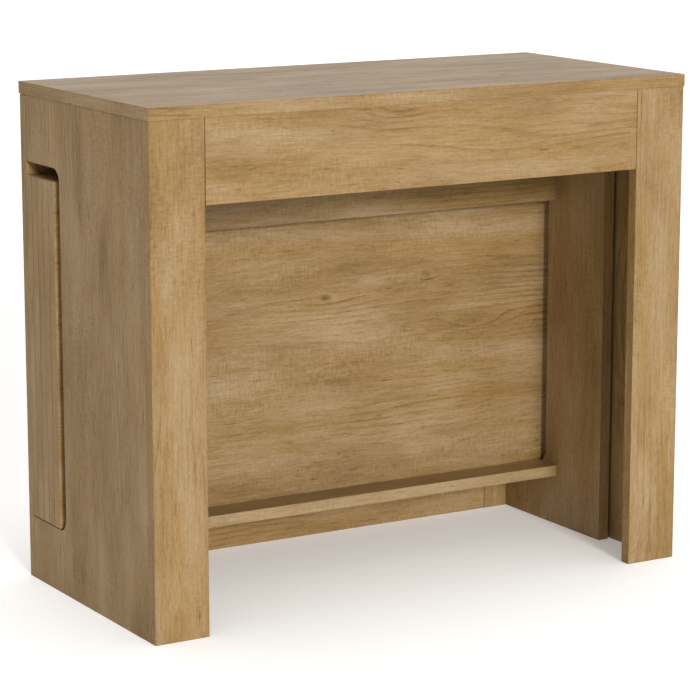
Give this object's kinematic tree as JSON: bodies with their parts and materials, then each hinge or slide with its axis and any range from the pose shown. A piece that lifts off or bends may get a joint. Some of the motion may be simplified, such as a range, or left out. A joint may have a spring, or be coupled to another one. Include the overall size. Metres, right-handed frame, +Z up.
{
  "type": "extending console table",
  "caption": "Oak-faced console table whose front shell pulls forward on telescopic rails, with extension leaves stored on edge in its back frame",
  "frame": {"origin": "on the floor, below the centre of the closed table", "axes": "+X to the right along the front, +Y to the back where the leaves are stored, +Z up"},
  "size_m": [0.9, 0.42, 0.75],
  "materials": {
    "oak_faced_board": "satin",
    "anodised_aluminium": "satin",
    "plated_steel": "satin",
    "nylon": "matte"
  },
  "bodies": {
    "back_frame": {"back_left_leg_board": "oak_faced_board", "back_right_leg_board": "oak_faced_board", "back_panel": "oak_faced_board", "left_inner_panel": "oak_faced_board", "right_inner_panel": "oak_faced_board", "leaf_shelf": "oak_faced_board", "leaf_retaining_rail": "oak_faced_board", "left_rail_1": "anodised_aluminium", "right_rail_1": "anodised_aluminium", "frame_rail_screws": "plated_steel"},
    "front_shell": {"table_top": "oak_faced_board", "left_side_panel": "oak_faced_board", "right_side_panel": "oak_faced_board", "front_left_leg_board": "oak_faced_board", "front_right_leg_board": "oak_faced_board", "front_apron": "oak_faced_board", "left_rail_9": "anodised_aluminium", "right_rail_9": "anodised_aluminium", "shell_rail_screws": "plated_steel"},
    "rail_stage_2": {"left_rail_2": "anodised_aluminium", "right_rail_2": "anodised_aluminium"},
    "rail_stage_3": {"left_rail_3": "anodised_aluminium", "right_rail_3": "anodised_aluminium"},
    "rail_stage_4": {"left_rail_4": "anodised_aluminium", "right_rail_4": "anodised_aluminium"},
    "rail_stage_5": {"left_rail_5": "anodised_aluminium", "right_rail_5": "anodised_aluminium"},
    "rail_stage_6": {"left_rail_6": "anodised_aluminium", "right_rail_6": "anodised_aluminium"},
    "rail_stage_7": {"left_rail_7": "anodised_aluminium", "right_rail_7": "anodised_aluminium"},
    "rail_stage_8": {"left_rail_8": "anodised_aluminium", "right_rail_8": "anodised_aluminium"},
    "leaf_1": {"extension_leaf_1": "oak_faced_board", "leaf_1_pins": "nylon"},
    "leaf_2": {"extension_leaf_2": "oak_faced_board", "leaf_2_pins": "nylon"},
    "leaf_3": {"extension_leaf_3": "oak_faced_board", "leaf_3_pins": "nylon"},
    "leaf_4": {"extension_leaf_4": "oak_faced_board", "leaf_4_pins": "nylon"},
    "leaf_5": {"extension_leaf_5": "oak_faced_board", "leaf_5_pins": "nylon"}
  },
  "joints": [
    {"name": "front_pull", "type": "slide", "parent": "back_frame", "child": "front_shell", "axis": [0, -1, 0], "range_m": [0, 2.58]},
    {"name": "rail_2_slide", "type": "slide", "parent": "back_frame", "child": "rail_stage_2", "axis": [0, -1, 0], "range_m": [0, 0.3225]},
    {"name": "rail_3_slide", "type": "slide", "parent": "back_frame", "child": "rail_stage_3", "axis": [0, -1, 0], "range_m": [0, 0.645]},
    {"name": "rail_4_slide", "type": "slide", "parent": "back_frame", "child": "rail_stage_4", "axis": [0, -1, 0], "range_m": [0, 0.9675]},
    {"name": "rail_5_slide", "type": "slide", "parent": "back_frame", "child": "rail_stage_5", "axis": [0, -1, 0], "range_m": [0, 1.29]},
    {"name": "rail_6_slide", "type": "slide", "parent": "back_frame", "child": "rail_stage_6", "axis": [0, -1, 0], "range_m": [0, 1.6125]},
    {"name": "rail_7_slide", "type": "slide", "parent": "back_frame", "child": "rail_stage_7", "axis": [0, -1, 0], "range_m": [0, 1.935]},
    {"name": "rail_8_slide", "type": "slide", "parent": "back_frame", "child": "rail_stage_8", "axis": [0, -1, 0], "range_m": [0, 2.2575]},
    {"name": "leaf_1_slide", "type": "slide", "parent": "back_frame", "child": "leaf_1", "axis": [-1, 0, 0], "range_m": [-0.91, 0.91]},
    {"name": "leaf_2_slide", "type": "slide", "parent": "back_frame", "child": "leaf_2", "axis": [-1, 0, 0], "range_m": [-0.91, 0.91]},
    {"name": "leaf_3_slide", "type": "slide", "parent": "back_frame", "child": "leaf_3", "axis": [-1, 0, 0], "range_m": [-0.91, 0.91]},
    {"name": "leaf_4_slide", "type": "slide", "parent": "back_frame", "child": "leaf_4", "axis": [-1, 0, 0], "range_m": [-0.91, 0.91]},
    {"name": "leaf_5_slide", "type": "slide", "parent": "back_frame", "child": "leaf_5", "axis": [-1, 0, 0], "range_m": [-0.91, 0.91]}
  ],
  "couplings": [
    {"joint": "rail_2_slide", "follows": "front_pull", "ratio": 0.125},
    {"joint": "rail_3_slide", "follows": "front_pull", "ratio": 0.25},
    {"joint": "rail_4_slide", "follows": "front_pull", "ratio": 0.375},
    {"joint": "rail_5_slide", "follows": "front_pull", "ratio": 0.5},
    {"joint": "rail_6_slide", "follows": "front_pull", "ratio": 0.625},
    {"joint": "rail_7_slide", "follows": "front_pull", "ratio": 0.75},
    {"joint": "rail_8_slide", "follows": "front_pull", "ratio": 0.875}
  ]
}
